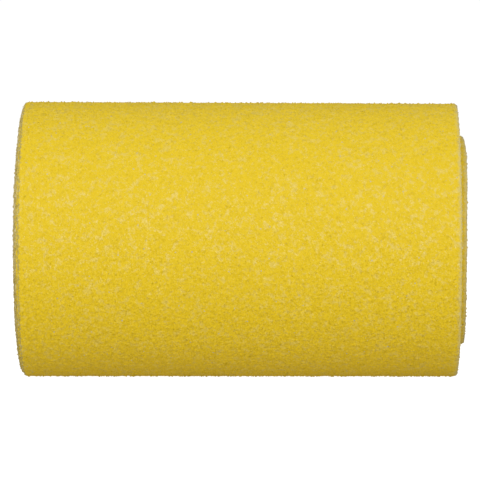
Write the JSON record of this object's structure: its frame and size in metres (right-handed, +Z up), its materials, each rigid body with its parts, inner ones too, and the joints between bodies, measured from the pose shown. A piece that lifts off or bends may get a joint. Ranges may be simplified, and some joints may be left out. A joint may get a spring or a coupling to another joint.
{
  "type": "abrasive paper roll",
  "caption": "Roll of yellow grit-coated abrasive paper wound on a cardboard core. Its turns slip along the axis one inside the other, and its free end lifts at the back.",
  "frame": {"origin": "on the axis of the core's bore, at the middle of the outermost turn's width", "axes": "+X along the roll's axis, towards the end where the inner turns stand out; +Y to the back, where the free end lies; +Z up"},
  "size_m": [0.1183, 0.0737, 0.0732],
  "materials": {
    "abrasive_paper": "matte",
    "core_board": "matte",
    "start_tape": "satin",
    "end_tape": "satin"
  },
  "bodies": {
    "turns_1": {"turns_1": "abrasive_paper"},
    "turns_2": {"turns_2": "abrasive_paper"},
    "turns_3": {"turns_3": "abrasive_paper"},
    "turns_4": {"turns_4": "abrasive_paper"},
    "turns_5": {"turns_5": "abrasive_paper"},
    "turns_6": {"turns_6": "abrasive_paper"},
    "turns_7": {"turns_7": "abrasive_paper"},
    "core": {"turns_8": "abrasive_paper", "start_tape": "start_tape", "core_tube": "core_board"},
    "tail_1": {"tail_1": "abrasive_paper"},
    "tail_2": {"tail_2": "abrasive_paper"},
    "tail_3": {"tail_3": "abrasive_paper"},
    "tail_4": {"tail_4": "abrasive_paper"},
    "tail_5": {"tail_5": "abrasive_paper"},
    "tail_6": {"tail_6": "abrasive_paper", "end_tape": "end_tape"}
  },
  "joints": [
    {"name": "outer_slip_1", "type": "slide", "parent": "turns_1", "child": "turns_2", "axis": [1, 0, 0], "range_m": [-0.0015, 0.0013]},
    {"name": "outer_slip_2", "type": "slide", "parent": "turns_2", "child": "turns_3", "axis": [1, 0, 0], "range_m": [-0.0003, 0.00026]},
    {"name": "inner_slide", "type": "slide", "parent": "turns_3", "child": "turns_4", "axis": [1, 0, 0], "range_m": [-0.00325, 0.004]},
    {"name": "telescope_1", "type": "slide", "parent": "turns_4", "child": "turns_5", "axis": [1, 0, 0], "range_m": [0, 0.004]},
    {"name": "telescope_2", "type": "slide", "parent": "turns_5", "child": "turns_6", "axis": [1, 0, 0], "range_m": [0, 0.004]},
    {"name": "telescope_3", "type": "slide", "parent": "turns_6", "child": "turns_7", "axis": [1, 0, 0], "range_m": [0, 0.004]},
    {"name": "telescope_4", "type": "slide", "parent": "turns_7", "child": "core", "axis": [1, 0, 0], "range_m": [0, 0.004]},
    {"name": "tail_bend_1", "type": "hinge", "parent": "turns_1", "child": "tail_1", "pos_m": [0, 0.01515, 0.03358], "axis": [1, 0, 0], "range_deg": [0, 16]},
    {"name": "tail_bend_2", "type": "hinge", "parent": "tail_1", "child": "tail_2", "pos_m": [0, 0.02385, 0.02815], "axis": [1, 0, 0], "range_deg": [0, 16]},
    {"name": "tail_bend_3", "type": "hinge", "parent": "tail_2", "child": "tail_3", "pos_m": [0, 0.03071, 0.02052], "axis": [1, 0, 0], "range_deg": [0, 16]},
    {"name": "tail_bend_4", "type": "hinge", "parent": "tail_3", "child": "tail_4", "pos_m": [0, 0.03521, 0.0113], "axis": [1, 0, 0], "range_deg": [0, 16]},
    {"name": "tail_bend_5", "type": "hinge", "parent": "tail_4", "child": "tail_5", "pos_m": [0, 0.03699, 0.0012], "axis": [1, 0, 0], "range_deg": [0, 16]},
    {"name": "tail_bend_6", "type": "hinge", "parent": "tail_5", "child": "tail_6", "pos_m": [0, 0.03592, -0.00901], "axis": [1, 0, 0], "range_deg": [0, 16]}
  ],
  "couplings": [
    {"joint": "outer_slip_2", "follows": "outer_slip_1", "ratio": 0.2},
    {"joint": "telescope_2", "follows": "telescope_1", "ratio": 1},
    {"joint": "telescope_3", "follows": "telescope_1", "ratio": 1},
    {"joint": "telescope_4", "follows": "telescope_1", "ratio": 1},
    {"joint": "tail_bend_2", "follows": "tail_bend_1", "ratio": 1},
    {"joint": "tail_bend_3", "follows": "tail_bend_1", "ratio": 1},
    {"joint": "tail_bend_4", "follows": "tail_bend_1", "ratio": 1},
    {"joint": "tail_bend_5", "follows": "tail_bend_1", "ratio": 1},
    {"joint": "tail_bend_6", "follows": "tail_bend_1", "ratio": 1}
  ]
}
